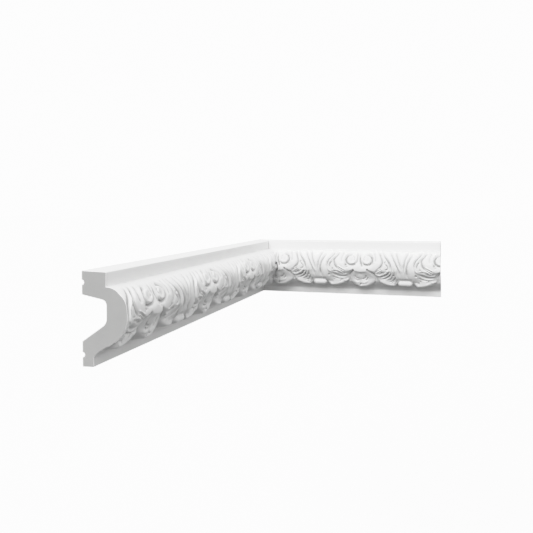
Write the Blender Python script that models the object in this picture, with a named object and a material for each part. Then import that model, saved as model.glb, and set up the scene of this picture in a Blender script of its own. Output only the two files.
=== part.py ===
# A carved panel moulding in two lengths that meet in a mitre at an inside corner.
#
# Origin: the corner at the moulding's bottom edge. The right length runs along +X with its back on the
# plane Y = 0, the left length runs along -Y with its back on the plane X = 0, and +Z is up.
# Sizes are in millimetres and become metres where the meshes are made. On the carving, "along" is
# measured to the right from a motif's own axis and "up" from the moulding's bottom edge, as it is seen
# from the front.

from math import cos, pi, radians, sin

import bmesh
import bpy
import numpy as np
from mathutils import Matrix, Vector

MM = 0.001

# The moulding and its two lengths.
HEIGHT = 88.0
LEFT_LENGTH = 500.0
RIGHT_LENGTH = 307.0
MITRE_GAP = 0.3
MITRE_NORMAL = (2 ** -0.5, 2 ** -0.5, 0.0)
MITRE_SETBACK = MITRE_GAP / 2 * 2 ** 0.5

# The section, as depth from the back plane and height above the bottom edge.
TOP_FILLET_DEPTH = 25.1
TOP_FILLET_EDGE = 86.9
OVOLO_TOP = 73.9
OVOLO_MIDDLE = 50.2
OVOLO_REACH = 22.3
OVOLO_LOWER_DROP = 28.8
COVE_START_ANGLE = radians(69)
COVE_TANGENT = 10.6
COVE_FOOT_TANGENT = 4.4
BOTTOM_FILLET_DEPTH = 11.5
BOTTOM_FILLET_TOP = 7.5
BOTTOM_FILLET_EDGE = 0.8

# The hollow and the two glue grooves in the back.
HOLLOW_TOP = 66.3
HOLLOW_BOTTOM = 23.2
HOLLOW_DEPTH = 25.6
HOLLOW_FACE_TOP = 61.6
HOLLOW_FACE_BOTTOM = 40.7
HOLLOW_CORNER = 5.0
GROOVE_RADIUS = 2.3
GROOVE_HEIGHTS = (77.4, 11.0)

# The carving's repeat, and where a motif's axis falls on each length, from the room corner.
REPEAT = 136.8
RIGHT_AXIS = 43.3
LEFT_AXIS = 38.2

# Fineness of the carved face before it is thinned, and the share of triangles kept.
ROW_STEP = 1.6
COLUMN_STEP = 1.6
KEPT_SHARE = 0.142

# The leaf layer that hangs over the cove: its fronts stand upright up to a level and flare out above it,
# and the ground behind them is undercut most beside the pendant.
LEAF_LEVEL = 28.0
LEAF_FRONT = 35.4
LEAF_FLARE = 0.2
LEAF_FLARE_POWER = 1.5
LEAF_TUCK = 0.12
UNDERCUT = 8.8
UNDERCUT_RISE = (16.7, 31.7)
UNDERCUT_FALL = (38.0, 52.0)
UNDERCUT_SHARE = ((-68.4, 0.15), (-60.0, 0.1), (-54.0, 0.0), (-48.5, 0.0), (-36.0, 1.0), (44.0, 1.0),
                  (57.0, 0.45), (63.0, 0.15), (68.4, 0.15))

# Each hanging leaf: centre along, lowest point, height where its sides start, reach to the left and
# right, how full its outline is on each side, how its sides spread above, the rolled edge's radius, and
# how far the leaf is set back from the others.
LEAVES = {
    "left lobe": (-43.0, 15.0, 31.0, 7.6, 29.4, 2.2, 1.8, 0.0, 0.018, 4.5, 0.0),
    "pendant": (6.0, 13.8, 32.0, 19.6, 22.6, 1.8, 2.0, -0.027, -0.048, 6.0, 0.2),
    "right lobe": (51.0, 16.2, 32.0, 22.4, 10.2, 1.7, 4.0, 0.048, 0.0, 4.5, 0.0),
    "knot": (73.6, 16.0, 24.0, 11.0, 11.6, 4.0, 4.0, 0.0, 0.0, 3.0, 2.0),
}

# The lower edge of the upper layer, from fan to fan, as (along, up, half the height over which it falls).
UPPER_EDGE = (
    (-68.4, 44.0, 6.0), (-50.0, 43.0, 6.0), (-35.0, 42.0, 6.0), (-22.0, 41.5, 5.0), (-13.0, 42.0, 2.4),
    (-7.5, 43.6, 1.4), (-4.0, 42.0, 1.5), (3.0, 40.4, 1.6), (12.0, 41.0, 1.5), (15.0, 44.0, 1.4),
    (18.5, 42.0, 2.4), (25.0, 41.0, 5.0), (38.0, 42.0, 6.0), (50.0, 43.0, 6.0), (68.4, 44.0, 6.0),
)

# The volutes' centres along and up, their radius and the swell of their discs.
VOLUTES = ((-9.8, 60.0), (14.9, 60.0))
VOLUTE_RADIUS = 7.6
VOLUTE_SWELL = 1.9


def smooth_step(low, high, value):
    t = np.clip((value - low) / (high - low), 0.0, 1.0)
    return t * t * (3.0 - 2.0 * t)


def bezier(p0, p1, p2, p3, count):
    """Points of a cubic Bezier curve after its first one."""
    points = []
    for i in range(1, count + 1):
        t = i / count
        weights = ((1 - t) ** 3, 3 * (1 - t) ** 2 * t, 3 * (1 - t) * t * t, t ** 3)
        points.append(tuple(sum(w * p[k] for w, p in zip(weights, (p0, p1, p2, p3))) for k in (0, 1)))
    return points


def face_curve():
    """The smooth front of the section from the top fillet's foot to the bottom fillet's head."""
    upper = [(TOP_FILLET_DEPTH + OVOLO_REACH * sin(a), OVOLO_MIDDLE + (OVOLO_TOP - OVOLO_MIDDLE) * cos(a))
             for a in np.linspace(0.0, pi / 2, 40)]
    lower = [(TOP_FILLET_DEPTH + OVOLO_REACH * cos(a), OVOLO_MIDDLE - OVOLO_LOWER_DROP * sin(a))
             for a in np.linspace(0.0, COVE_START_ANGLE, 40)][1:]
    start = lower[-1]
    tangent = Vector((-OVOLO_REACH * sin(COVE_START_ANGLE), -OVOLO_LOWER_DROP * cos(COVE_START_ANGLE)))
    tangent.normalize()
    handle = (start[0] + tangent[0] * COVE_TANGENT, start[1] + tangent[1] * COVE_TANGENT)
    foot_handle = (BOTTOM_FILLET_DEPTH, BOTTOM_FILLET_TOP + COVE_FOOT_TANGENT)
    foot = (BOTTOM_FILLET_DEPTH, BOTTOM_FILLET_TOP)
    return np.array(upper + lower + bezier(start, handle, foot_handle, foot, 30))


def evenly_along(curve, step):
    """The curve's points again, at equal distances close to the step."""
    travelled = np.r_[0.0, np.cumsum(np.hypot(*np.diff(curve, axis=0).T))]
    at = np.linspace(0.0, travelled[-1], int(round(travelled[-1] / step)) + 1)
    return np.column_stack([np.interp(at, travelled, curve[:, k]) for k in (0, 1)])


FACE_CURVE = face_curve()


def face_depth(up):
    """Depth of the plain front, without its carving."""
    return np.interp(up, FACE_CURVE[::-1, 1], FACE_CURVE[::-1, 0])


def wrapped(along, centre):
    """Distance along from a centre, on the nearest repeat."""
    return (along - centre + REPEAT / 2) % REPEAT - REPEAT / 2


def undercut_share(along):
    """How much of the undercut there is along the run."""
    return np.interp(wrapped(along, 0.0), *np.array(UNDERCUT_SHARE).T)


def ground_depth(along, up):
    """Depth of the ground behind the hanging leaves."""
    held_back = smooth_step(*UNDERCUT_RISE, up) * (1.0 - smooth_step(*UNDERCUT_FALL, up))
    return face_depth(up) - UNDERCUT * undercut_share(along) * held_back


def leaf_depth(along, up):
    """Depth of the leaves' fronts, which hang upright and flare out above to meet the ovolo."""
    front = LEAF_FRONT - LEAF_TUCK * np.maximum(LEAF_LEVEL - up, 0.0)
    proud = np.maximum(face_depth(up), front)
    flare = LEAF_FLARE * np.maximum(up - LEAF_LEVEL, 0.0) ** LEAF_FLARE_POWER
    return proud + (np.minimum(front + flare, proud) - proud) * undercut_share(along)


def leaf_cover(along, up, leaf):
    """How far a leaf's rolled edge has risen: 0 outside the leaf and 1 on its face."""
    centre, bottom, top, left, right, full_left, full_right, lean_left, lean_right, roll, _ = leaf
    across = wrapped(along, centre)
    above = np.maximum(up - top, 0.0)
    reach = np.where(across < 0, left * (1 + lean_left * above), right * (1 + lean_right * above))
    power = np.where(across < 0, full_left, full_right)
    sideways = np.abs(across) / np.maximum(reach, 1.0)
    downward = np.maximum(top - up, 0.0) / (top - bottom)
    inside = 1.0 - (sideways ** power + downward ** power) ** (1.0 / power)
    rise = np.clip(inside * (top - bottom) / roll, 0.0, 1.0)
    return np.sqrt(1.0 - (1.0 - rise) ** 2)


def form_depth(along, up):
    """Depth of the carving's large forms: the ovolo, the leaves that hang from it and the ground."""
    ground = ground_depth(along, up)
    front = leaf_depth(along, up)
    leaves = ground
    for leaf in LEAVES.values():
        risen = ground + np.maximum(front - leaf[-1] - ground, 0.0) * leaf_cover(along, up, leaf)
        leaves = np.maximum(leaves, risen)
    places, edges, reaches = np.array(UPPER_EDGE).T
    at = wrapped(along, 0.0)
    edge = np.interp(at, places, edges)
    reach = np.interp(at, places, reaches)
    return leaves + (face_depth(up) - leaves) * smooth_step(edge - reach, edge + reach, up)


def smooth_line(points, per_span=6):
    """A smooth line through hand-placed points."""
    padded = [points[0]] + list(points) + [points[-1]]
    line = [points[0]]
    for a, b, c, d in zip(padded, padded[1:], padded[2:], padded[3:]):
        for i in range(1, per_span + 1):
            t = i / per_span
            weights = (2 * t ** 2 - t - t ** 3, 2 - 5 * t ** 2 + 3 * t ** 3,
                       t + 4 * t ** 2 - 3 * t ** 3, t ** 3 - t ** 2)
            line.append(tuple(sum(w * p[k] for w, p in zip(weights, (a, b, c, d))) / 2 for k in (0, 1)))
    return np.array(line)


def stroke(along, up, points, width, height, taper=(0.25, 0.25)):
    """A rounded ridge along a line, fading at its ends; with a negative height it is a groove."""
    line = smooth_line(points)
    middle = line[:, 0].mean()
    x = middle + wrapped(along, middle)
    near = ((x > line[:, 0].min() - width) & (x < line[:, 0].max() + width)
            & (up > line[:, 1].min() - width) & (up < line[:, 1].max() + width))
    result = np.zeros_like(up)
    if not near.any():
        return result
    x, y = x[near], up[near]
    lengths = np.hypot(*np.diff(line, axis=0).T)
    starts = np.r_[0.0, np.cumsum(lengths)]
    best = np.full(x.shape, np.inf)
    place = np.zeros(x.shape)
    for (x0, y0), (x1, y1), start, length in zip(line, line[1:], starts, lengths):
        t = np.clip(((x - x0) * (x1 - x0) + (y - y0) * (y1 - y0)) / max(length, 1e-6) ** 2, 0.0, 1.0)
        away = np.hypot(x - x0 - t * (x1 - x0), y - y0 - t * (y1 - y0))
        closer = away < best
        best = np.where(closer, away, best)
        place = np.where(closer, (start + t * length) / starts[-1], place)
    fade = smooth_step(-0.02, taper[0], place) * smooth_step(-0.02, taper[1], 1.0 - place)
    result[near] = height * fade * np.clip(1.0 - (best / width) ** 2, 0.0, 1.0) ** 1.5
    return result


def between(first, last, count):
    """Lines spaced evenly from a first to a last one."""
    shares = [i / (count - 1) for i in range(count)]
    return [[tuple((1 - s) * p[k] + s * q[k] for k in (0, 1)) for p, q in zip(first, last)] for s in shares]


def round_boss(along, up, centre, radius, height):
    """A low round boss with a steep rim."""
    away = np.hypot(wrapped(along, centre[0]), up - centre[1]) / radius
    return height * np.sqrt(np.clip(1.0 - away ** 2, 0.0, 1.0))


def soft_dome(along, up, centre, radius, height):
    """A round swelling that runs out softly; with a negative height it is a hollow."""
    away = np.hypot(wrapped(along, centre[0]), up - centre[1]) / radius
    return height * np.clip(1.0 - away ** 2, 0.0, 1.0) ** 1.5


def volute(along, up, centre, turn):
    """A raised disc in a groove that opens on its inner side; turn is 1 where the tail is on the right."""
    reach = VOLUTE_RADIUS + 0.8
    carved = soft_dome(along, up, (centre[0], centre[1] - 1.0), 15.0, -2.4)
    carved += round_boss(along, up, centre, VOLUTE_RADIUS, VOLUTE_SWELL)
    ring = [(centre[0] + turn * reach * sin(radians(a)), centre[1] + reach * cos(radians(a)))
            for a in range(-14, 251, 24)]
    return carved + stroke(along, up, ring, 2.4, -3.2, (0.2, 0.2))


def carving(along, up):
    """Height of the carved lines over the large forms."""
    h = volute(along, up, VOLUTES[0], -1) + volute(along, up, VOLUTES[1], 1)

    # The stem between the volutes and the collar below it.
    h += stroke(along, up, [(-0.4, 71.0), (-0.2, 63.0), (-2.6, 54.0)], 1.8, -2.4)
    h += stroke(along, up, [(4.0, 70.6), (4.4, 59.0), (7.6, 48.4)], 2.0, -3.2, (0.4, 0.1))
    h += soft_dome(along, up, (3.5, 47.0), 10.0, 1.2)
    h += stroke(along, up, [(-6.6, 44.8), (-11.4, 39.0), (-14.2, 32.0)], 2.4, -2.6, (0.12, 0.3))
    h += stroke(along, up, [(14.2, 45.8), (20.4, 39.6), (29.0, 30.4)], 2.4, -2.6, (0.12, 0.3))

    # The scroll lines at both sides of the volutes.
    h += stroke(along, up, [(-24.8, 67.5), (-26.0, 61.8), (-25.4, 55.0)], 1.8, -1.6)
    h += stroke(along, up, [(27.4, 67.8), (28.6, 61.8), (28.8, 55.6)], 1.8, -1.6)
    h += stroke(along, up, [(-30.0, 71.0), (-37.9, 59.7), (-35.5, 50.0), (-31.0, 42.5)], 2.4, -3.2)
    h += stroke(along, up, [(34.0, 71.0), (38.7, 58.7), (36.0, 48.4), (26.0, 41.8)], 2.4, -3.0)
    h += stroke(along, up, [(-37.4, 70.4), (-47.8, 57.7), (-47.8, 42.6)], 2.0, -2.4)
    h += stroke(along, up, [(40.6, 69.0), (49.8, 54.5), (51.0, 42.5)], 2.0, -2.4)
    h += stroke(along, up, [(-36.2, 67.6), (-47.3, 51.5), (-41.0, 38.6)], 2.4, 1.6)
    h += stroke(along, up, [(41.4, 69.8), (52.6, 56.0), (55.0, 40.4), (39.0, 27.2)], 2.4, 1.8)
    h += stroke(along, up, [(45.5, 57.7), (43.4, 54.0), (47.5, 48.6), (43.0, 44.2)], 1.8, -2.4, (0.1, 0.1))

    # Short bars under each scroll, and the curved folds of the leaves below them.
    for line in between([(-31.4, 48.2), (-19.4, 41.6)], [(-30.6, 45.2), (-21.4, 39.6)], 2):
        h += stroke(along, up, line, 1.5, -1.4, (0.1, 0.3))
    for line in between([(27.6, 41.0), (33.0, 42.7), (37.8, 46.2)], [(35.4, 38.7), (37.4, 40.0), (40.0, 41.8)], 3):
        h += stroke(along, up, line, 1.5, -1.8, (0.3, 0.15))
    h += stroke(along, up, [(-39.0, 40.4), (-25.0, 35.6), (-14.6, 39.0)], 2.2, 1.2)
    h += stroke(along, up, [(-42.5, 38.6), (-30.6, 32.6), (-18.0, 33.8)], 1.7, -1.2)
    h += stroke(along, up, [(26.4, 37.8), (38.0, 36.1), (48.0, 43.4)], 2.0, 1.8)
    h += stroke(along, up, [(33.0, 32.8), (45.0, 36.6), (50.5, 42.6)], 1.6, -2.2, (0.2, 0.15))

    # The fan's flutes and the knot at its foot.
    h += stroke(along, up, [(53.0, 69.6), (60.2, 53.0), (67.2, 34.2), (67.6, 27.6)], 2.4, -2.8, (0.3, 0.12))
    h += stroke(along, up, [(60.5, 70.4), (65.2, 55.6), (69.4, 40.0)], 2.2, -2.2, (0.2, 0.4))
    h += stroke(along, up, [(77.9, 70.8), (72.9, 55.6), (71.9, 38.0)], 2.2, -2.2, (0.2, 0.3))
    h += stroke(along, up, [(85.8, 69.4), (76.8, 50.0), (79.6, 28.0)], 2.2, -2.2, (0.4, 0.1))
    h += stroke(along, up, [(66.4, 22.4), (73.6, 22.6), (80.8, 22.4)], 5.2, 2.7, (0.05, 0.05))

    # The pendant's ball, its curls and the parting below them, and the pits beside the knot.
    h += soft_dome(along, up, (5.0, 29.0), 19.0, 2.6)
    h += stroke(along, up, [(4.6, 23.0), (-1.0, 18.2)], 2.0, -2.4)
    h += stroke(along, up, [(10.0, 36.2), (11.4, 32.8), (6.0, 31.0)], 1.6, -1.8)
    h += stroke(along, up, [(-5.4, 35.0), (-3.6, 31.0), (0.6, 31.6)], 1.6, -1.4)
    h += soft_dome(along, up, (-46.5, 35.2), 2.2, -1.9)
    h += soft_dome(along, up, (56.2, 35.4), 2.2, -2.0)
    return h


def arc(centre, radius, start, end, steps):
    """Points on an arc, with angles in degrees."""
    angles = (radians(start + (end - start) * i / steps) for i in range(steps + 1))
    return [(centre[0] + radius * cos(a), centre[1] + radius * sin(a)) for a in angles]


def rounded_corner(before, corner, after, radius, steps=4):
    """A corner between two straight stretches, rounded through its tangent points."""
    corner = Vector(corner)
    ins = (Vector(before) - corner).normalized()
    out = (Vector(after) - corner).normalized()
    start = corner + ins * radius
    end = corner + out * radius
    blend = ((1 - i / steps, i / steps) for i in range(steps + 1))
    return [tuple(a * a * start + 2 * a * b * corner + b * b * end) for a, b in blend]


def back_outline():
    """The rest of the section, from the bottom fillet's head round the back to the top fillet's foot."""
    points = [(BOTTOM_FILLET_DEPTH, BOTTOM_FILLET_EDGE), (0.0, 0.0)]
    points += arc((0.0, GROOVE_HEIGHTS[1]), GROOVE_RADIUS, -90, 90, 6)
    low, high = (0.0, HOLLOW_BOTTOM), (0.0, HOLLOW_TOP)
    inner_low, inner_high = (HOLLOW_DEPTH, HOLLOW_FACE_BOTTOM), (HOLLOW_DEPTH, HOLLOW_FACE_TOP)
    points += [low] + rounded_corner(low, inner_low, inner_high, HOLLOW_CORNER)
    points += rounded_corner(inner_low, inner_high, high, HOLLOW_CORNER) + [high]
    points += arc((0.0, GROOVE_HEIGHTS[0]), GROOVE_RADIUS, -90, 90, 6)
    return points + [(0.0, HEIGHT), (TOP_FILLET_DEPTH, TOP_FILLET_EDGE)]


def on_front(co):
    """True for a point of the carved face, in a length's local frame in millimetres."""
    least = max(BOTTOM_FILLET_DEPTH - 0.01, face_depth(co.z) - 1.3 * UNDERCUT)
    return BOTTOM_FILLET_TOP - 0.01 < co.z < OVOLO_TOP + 0.01 and -co.y > least


def plain_bar(length, face):
    """A straight bar of the section with closed ends, in narrow columns, from x = 0 along the run."""
    mesh = bmesh.new()
    verts = [mesh.verts.new((0.0, -depth, up)) for depth, up in [*face, *back_outline()]]
    ring = [mesh.edges.new(pair) for pair in zip(verts, verts[1:] + verts[:1])]
    mesh.faces.new(verts)
    columns = int(round(length / COLUMN_STEP))
    step = Vector((length / columns, 0.0, 0.0))
    for _ in range(columns):
        made = bmesh.ops.extrude_edge_only(mesh, edges=ring)["geom"]
        ring = [item for item in made if isinstance(item, bmesh.types.BMEdge)]
        bmesh.ops.translate(mesh, vec=step, verts=[v for v in made if isinstance(v, bmesh.types.BMVert)])
    bmesh.ops.contextual_create(mesh, geom=ring)
    return mesh


def carve(mesh, axis, direction):
    """Moves the front's points to the carved surface."""
    front = [v for v in mesh.verts if on_front(v.co)]
    x = np.array([v.co.x for v in front])
    up = np.array([v.co.z for v in front])
    along = direction * (x - axis)
    slope = face_depth(up + 0.5) - face_depth(up - 0.5)
    height = carving(along, up) / np.sqrt(1.0 + slope ** 2)
    depth = form_depth(along, up) + height
    for vert, *co in zip(front, x, -depth, up - slope * height):
        vert.co = co


def cut_mitre(mesh):
    """Cuts the bar's corner end at 45 degrees and leaves half of the gap."""
    everything = mesh.verts[:] + mesh.edges[:] + mesh.faces[:]
    cut = bmesh.ops.bisect_plane(mesh, geom=everything, plane_co=(MITRE_SETBACK, 0.0, 0.0),
                                 plane_no=MITRE_NORMAL, clear_inner=True, dist=1e-4)["geom_cut"]
    bmesh.ops.contextual_create(mesh, geom=[item for item in cut if isinstance(item, bmesh.types.BMEdge)])


def join_flats(mesh):
    """Makes each flat face of the bar one face again."""
    strips = [e for e in mesh.edges if not all(on_front(v.co) for v in e.verts)]
    bmesh.ops.dissolve_limit(mesh, angle_limit=radians(0.05), edges=strips, verts=[])
    passed = [v for v in mesh.verts if not on_front(v.co) and len(v.link_edges) == 2]
    bmesh.ops.dissolve_verts(mesh, verts=passed)


def ordered_mesh(mesh, name, place):
    """The finished mesh in metres, its points and faces in one fixed order, so that each run is the same."""
    bmesh.ops.recalc_face_normals(mesh, faces=mesh.faces)
    turned = place.determinant() < 0.0
    points = {vert: tuple(round(value, 7) for value in place @ (vert.co * MM)) for vert in mesh.verts}
    order = {vert: i for i, vert in enumerate(sorted(points, key=points.get))}
    faces = []
    for face in mesh.faces:
        corners = [order[vert] for vert in (reversed(face.verts) if turned else face.verts)]
        first = corners.index(min(corners))
        faces.append(corners[first:] + corners[:first])
    data = bpy.data.meshes.new(name)
    data.from_pydata([points[vert] for vert in order], [], sorted(faces))
    mesh.free()
    return data


def moulding_length(name, length, axis, direction, place, material):
    """One carved length. Its local frame has x along the run from the corner and -y towards the front."""
    mesh = plain_bar(length, evenly_along(FACE_CURVE, ROW_STEP))
    carve(mesh, axis, direction)
    cut_mitre(mesh)
    join_flats(mesh)
    data = ordered_mesh(mesh, name, place)
    data.materials.append(material)
    piece = bpy.data.objects.new(name, data)

    # The carved face is thinned, but not its rims on the two end faces, which stay flat.
    back = place.inverted()
    local = [back @ v.co / MM for v in data.vertices]
    free = [i for i, co in enumerate(local) if on_front(co) and co.x < length - 0.01
            and co.x + co.y > MITRE_SETBACK + 0.01]
    piece.vertex_groups.new(name="carved face").add(free, 1.0, "REPLACE")
    piece.modifiers.new("triangles", "TRIANGULATE")
    thin = piece.modifiers.new("thin the carved face", "DECIMATE")
    thin.ratio = KEPT_SHARE
    thin.vertex_group = "carved face"
    thin.use_collapse_triangulate = True
    return piece


def primed_material():
    """Matt white primer over hard polyurethane."""
    material = bpy.data.materials.new("primed white")
    material.use_nodes = True
    shader = material.node_tree.nodes["Principled BSDF"]
    shader.inputs["Base Color"].default_value = (0.83, 0.83, 0.82, 1.0)
    shader.inputs["Roughness"].default_value = 0.6
    shader.inputs["Metallic"].default_value = 0.0
    return material


def main():
    for old in list(bpy.data.objects):
        bpy.data.objects.remove(old, do_unlink=True)
    collection = bpy.data.collections.new("wall moulding corner")
    bpy.context.scene.collection.children.link(collection)
    material = primed_material()
    to_left_run = Matrix(((0.0, -1.0, 0.0), (-1.0, 0.0, 0.0), (0.0, 0.0, 1.0)))
    lengths = (
        ("right_length", RIGHT_LENGTH, RIGHT_AXIS, 1, Matrix.Identity(3)),
        ("left_length", LEFT_LENGTH, LEFT_AXIS, -1, to_left_run),
    )
    for name, length, axis, direction, place in lengths:
        collection.objects.link(moulding_length(name, length, axis, direction, place, material))


if __name__ == "__main__":
    main()
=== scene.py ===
# A carved wall moulding: two lengths that meet in a mitre at an inside corner.
#
# Sizes are in millimetres and become metres where a mesh is placed. A section is drawn as depth from the
# back plane and height above the bottom edge. On the carving, "along" is measured to the right from a
# motif's own axis and "up" from the moulding's bottom edge, as the carver sees it from the front.

from collections import namedtuple
from math import cos, pi, radians, sin

import bmesh
import bpy
import numpy as np
from mathutils import Matrix, Vector


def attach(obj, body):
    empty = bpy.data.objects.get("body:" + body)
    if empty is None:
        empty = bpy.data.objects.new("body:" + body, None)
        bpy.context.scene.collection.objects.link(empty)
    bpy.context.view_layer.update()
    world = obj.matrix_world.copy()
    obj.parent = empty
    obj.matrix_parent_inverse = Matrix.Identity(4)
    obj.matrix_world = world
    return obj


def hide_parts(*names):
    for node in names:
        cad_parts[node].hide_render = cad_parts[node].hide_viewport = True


MM = 0.001

# The moulding and its two lengths.
HEIGHT = 88.0
LEFT_LENGTH = 500.0
RIGHT_LENGTH = 307.0
MITRE_GAP = 0.3

# The section. The ovolo is two quarter ovals, one above its middle and one below it. The cove leaves the
# lower one at an angle and runs down to the bottom fillet, shaped by the lengths of its end tangents.
TOP_FILLET_DEPTH = 25.1
TOP_FILLET_EDGE = 86.9
OVOLO_TOP = 73.9
OVOLO_MIDDLE = 50.2
OVOLO_REACH = 22.3
OVOLO_LOWER_DROP = 28.8
COVE_START_ANGLE = radians(69)
COVE_TANGENT = 10.6
COVE_FOOT_TANGENT = 4.4
BOTTOM_FILLET_DEPTH = 11.5
BOTTOM_FILLET_TOP = 7.5
BOTTOM_FILLET_EDGE = 0.8
ARRIS_RADIUS = 0.6
END_CHAMFER = 0.35
OVOLO_STEPS = 60
COVE_STEPS = 40

# The hollow and the two glue grooves in the back.
HOLLOW_TOP = 66.3
HOLLOW_BOTTOM = 23.2
HOLLOW_DEPTH = 25.6
HOLLOW_FACE_TOP = 61.6
HOLLOW_FACE_BOTTOM = 40.7
HOLLOW_CORNER = 5.0
GROOVE_RADIUS = 2.3
UPPER_GROOVE = 77.4
LOWER_GROOVE = 11.0
GROOVE_STEPS = 12
HOLLOW_CORNER_STEPS = 8

# The carving's repeat, where a motif's axis falls on each length, from the inside corner, and how many
# repeats are laid for each length before it is cut.
REPEAT = 136.8
RIGHT_AXIS = 43.3
LEFT_AXIS = 38.2
RIGHT_REPEATS = 3
LEFT_REPEATS = 5

# Columns in one repeat and rows from the top fillet to the bottom one, on each length.
LEFT_MESH = (190, 128)
RIGHT_MESH = (240, 162)

# The sheet is evened out where its edges are stretched: from the first number of columns' widths on, and
# fully at the second. A point then moves this share of the way to the middle of its neighbours.
STRETCH_START = 1.5
STRETCH_FULL = 3.5
EVENING_SHARE = 0.5

# How near two repeats' rims lie where they are joined, and how near a point counts as on a cutting plane.
JOINT_TOLERANCE = 0.01
PLANE_TOLERANCE = 1e-4

# Edges that turn by less than this are shaded smooth.
SMOOTH_TURN = radians(40)

# Where a chamfered rim bends back on itself, this keeps its inner corner from being thrown far inwards.
TIGHT_BEND = 0.35

# The leaf layer that hangs over the cove. Its front stands at one depth, tucks in below its level and
# flares out above it. Behind it the ground is undercut, between a lower and an upper stretch of heights.
LEAF_LEVEL = 28.0
LEAF_FRONT = 35.4
LEAF_FLARE = 0.2
LEAF_FLARE_POWER = 1.5
LEAF_TUCK = 0.12
UNDERCUT = 8.8
UNDERCUT_RISE = (16.7, 31.7)
UNDERCUT_FALL = (38.0, 52.0)

# How much of the undercut there is along the run, as (along, share): none beside the fan, all by the pendant.
UNDERCUT_SHARE = (
    (-68.4, 0.15), (-60.0, 0.1), (-54.0, 0.0), (-48.5, 0.0), (-36.0, 1.0),
    (44.0, 1.0), (57.0, 0.45), (63.0, 0.15), (68.4, 0.15),
)

# Each hanging leaf: centre along, lowest point, height where its sides start, reach to the left and
# right, how full its outline is on each side, how its sides spread above, the rolled edge's radius, and
# how far the leaf is set back from the others.
LEAF_MEASURES = "centre bottom top left right full_left full_right lean_left lean_right roll set_back"
Leaf = namedtuple("Leaf", LEAF_MEASURES)
LEAVES = {
    "left lobe": Leaf(-43.0, 15.0, 31.0, 7.6, 29.4, 2.2, 1.8, 0.0, 0.018, 4.5, 0.0),
    "pendant": Leaf(6.0, 13.8, 32.0, 19.6, 22.6, 1.8, 2.0, -0.027, -0.048, 6.0, 0.2),
    "right lobe": Leaf(51.0, 16.2, 32.0, 22.4, 10.2, 1.7, 4.0, 0.048, 0.0, 4.5, 0.0),
    "knot": Leaf(73.6, 17.0, 24.0, 10.6, 11.0, 3.0, 3.0, 0.0, 0.0, 3.4, 1.4),
}

# The lower edge of the upper layer, from fan to fan, as (along, up, half the height over which it falls).
UPPER_EDGE = (
    (-68.4, 44.0, 6.0), (-50.0, 43.0, 6.0), (-35.0, 42.0, 6.0), (-22.0, 41.5, 5.0), (-13.0, 42.0, 2.4),
    (-7.5, 43.6, 1.4), (-4.0, 42.0, 1.5), (3.0, 40.4, 1.6), (12.0, 41.0, 1.5), (15.0, 44.0, 1.4),
    (18.5, 42.0, 2.4), (25.0, 41.0, 5.0), (38.0, 42.0, 6.0), (50.0, 43.0, 6.0), (68.4, 44.0, 6.0),
)

# The knot at the fan's foot: a small rolled cushion that lies along the run in a shallow trough.
KNOT = (73.6, 22.6)
KNOT_HALF_LENGTH = 6.4
KNOT_RADIUS = 5.6
KNOT_AXIS_DEPTH = 29.5
KNOT_SWELL = 7.2
TROUGH_DEPTH = 2.4
TROUGH_SIDES = (KNOT_HALF_LENGTH + 2.0, KNOT_HALF_LENGTH + 6.0)
TROUGH_RISE = (17.0, 22.0)
TROUGH_FALL = (27.5, 31.5)

# The volutes: two round discs, how far the cut round each is from its centre, and how far the band outside
# that is, along and up.
LEFT_VOLUTE = (-9.8, 60.0)
RIGHT_VOLUTE = (14.9, 60.0)
VOLUTE_RADIUS = 7.6
VOLUTE_SWELL = 1.9
VOLUTE_RIM = VOLUTE_RADIUS + 0.9
VOLUTE_BAND = (11.2, 11.0)

# How much higher the ridges stand, and how much deeper the grooves are, than the cuts below say.
RIDGE_GAIN = 1.6
GROOVE_GAIN = 2.2

# A line's fade starts this share of its length outside its end, and a stretch shorter than this is a point.
FADE_START = -0.02
SHORTEST_STRETCH = 1e-6

# How much the large forms' own steps count as recesses, beside the cut lines, where shade is painted into the
# primer.
FORM_PAINTED_SHADE = 0.12


def smooth_step(low, high, value):
    """0 below the low value, 1 above the high one, and smooth between them."""
    t = np.clip((value - low) / (high - low), 0.0, 1.0)
    return t * t * (3.0 - 2.0 * t)


def bezier(p0, p1, p2, p3, count):
    """Points of a cubic Bezier curve after its first one."""
    points = []
    for i in range(1, count + 1):
        t = i / count
        weights = ((1 - t) ** 3, 3 * (1 - t) ** 2 * t, 3 * (1 - t) * t * t, t ** 3)
        points.append(tuple(sum(w * p[k] for w, p in zip(weights, (p0, p1, p2, p3))) for k in (0, 1)))
    return points


def face_curve():
    """The smooth front of the section from the top fillet's foot to the bottom fillet's head."""
    upper = [(TOP_FILLET_DEPTH + OVOLO_REACH * sin(a), OVOLO_MIDDLE + (OVOLO_TOP - OVOLO_MIDDLE) * cos(a))
             for a in np.linspace(0.0, pi / 2, OVOLO_STEPS)]
    lower = [(TOP_FILLET_DEPTH + OVOLO_REACH * cos(a), OVOLO_MIDDLE - OVOLO_LOWER_DROP * sin(a))
             for a in np.linspace(0.0, COVE_START_ANGLE, OVOLO_STEPS)][1:]
    start = lower[-1]
    tangent = Vector((-OVOLO_REACH * sin(COVE_START_ANGLE), -OVOLO_LOWER_DROP * cos(COVE_START_ANGLE)))
    tangent.normalize()
    handle = (start[0] + tangent[0] * COVE_TANGENT, start[1] + tangent[1] * COVE_TANGENT)
    foot_handle = (BOTTOM_FILLET_DEPTH, BOTTOM_FILLET_TOP + COVE_FOOT_TANGENT)
    foot = (BOTTOM_FILLET_DEPTH, BOTTOM_FILLET_TOP)
    return np.array(upper + lower + bezier(start, handle, foot_handle, foot, COVE_STEPS))


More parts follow.
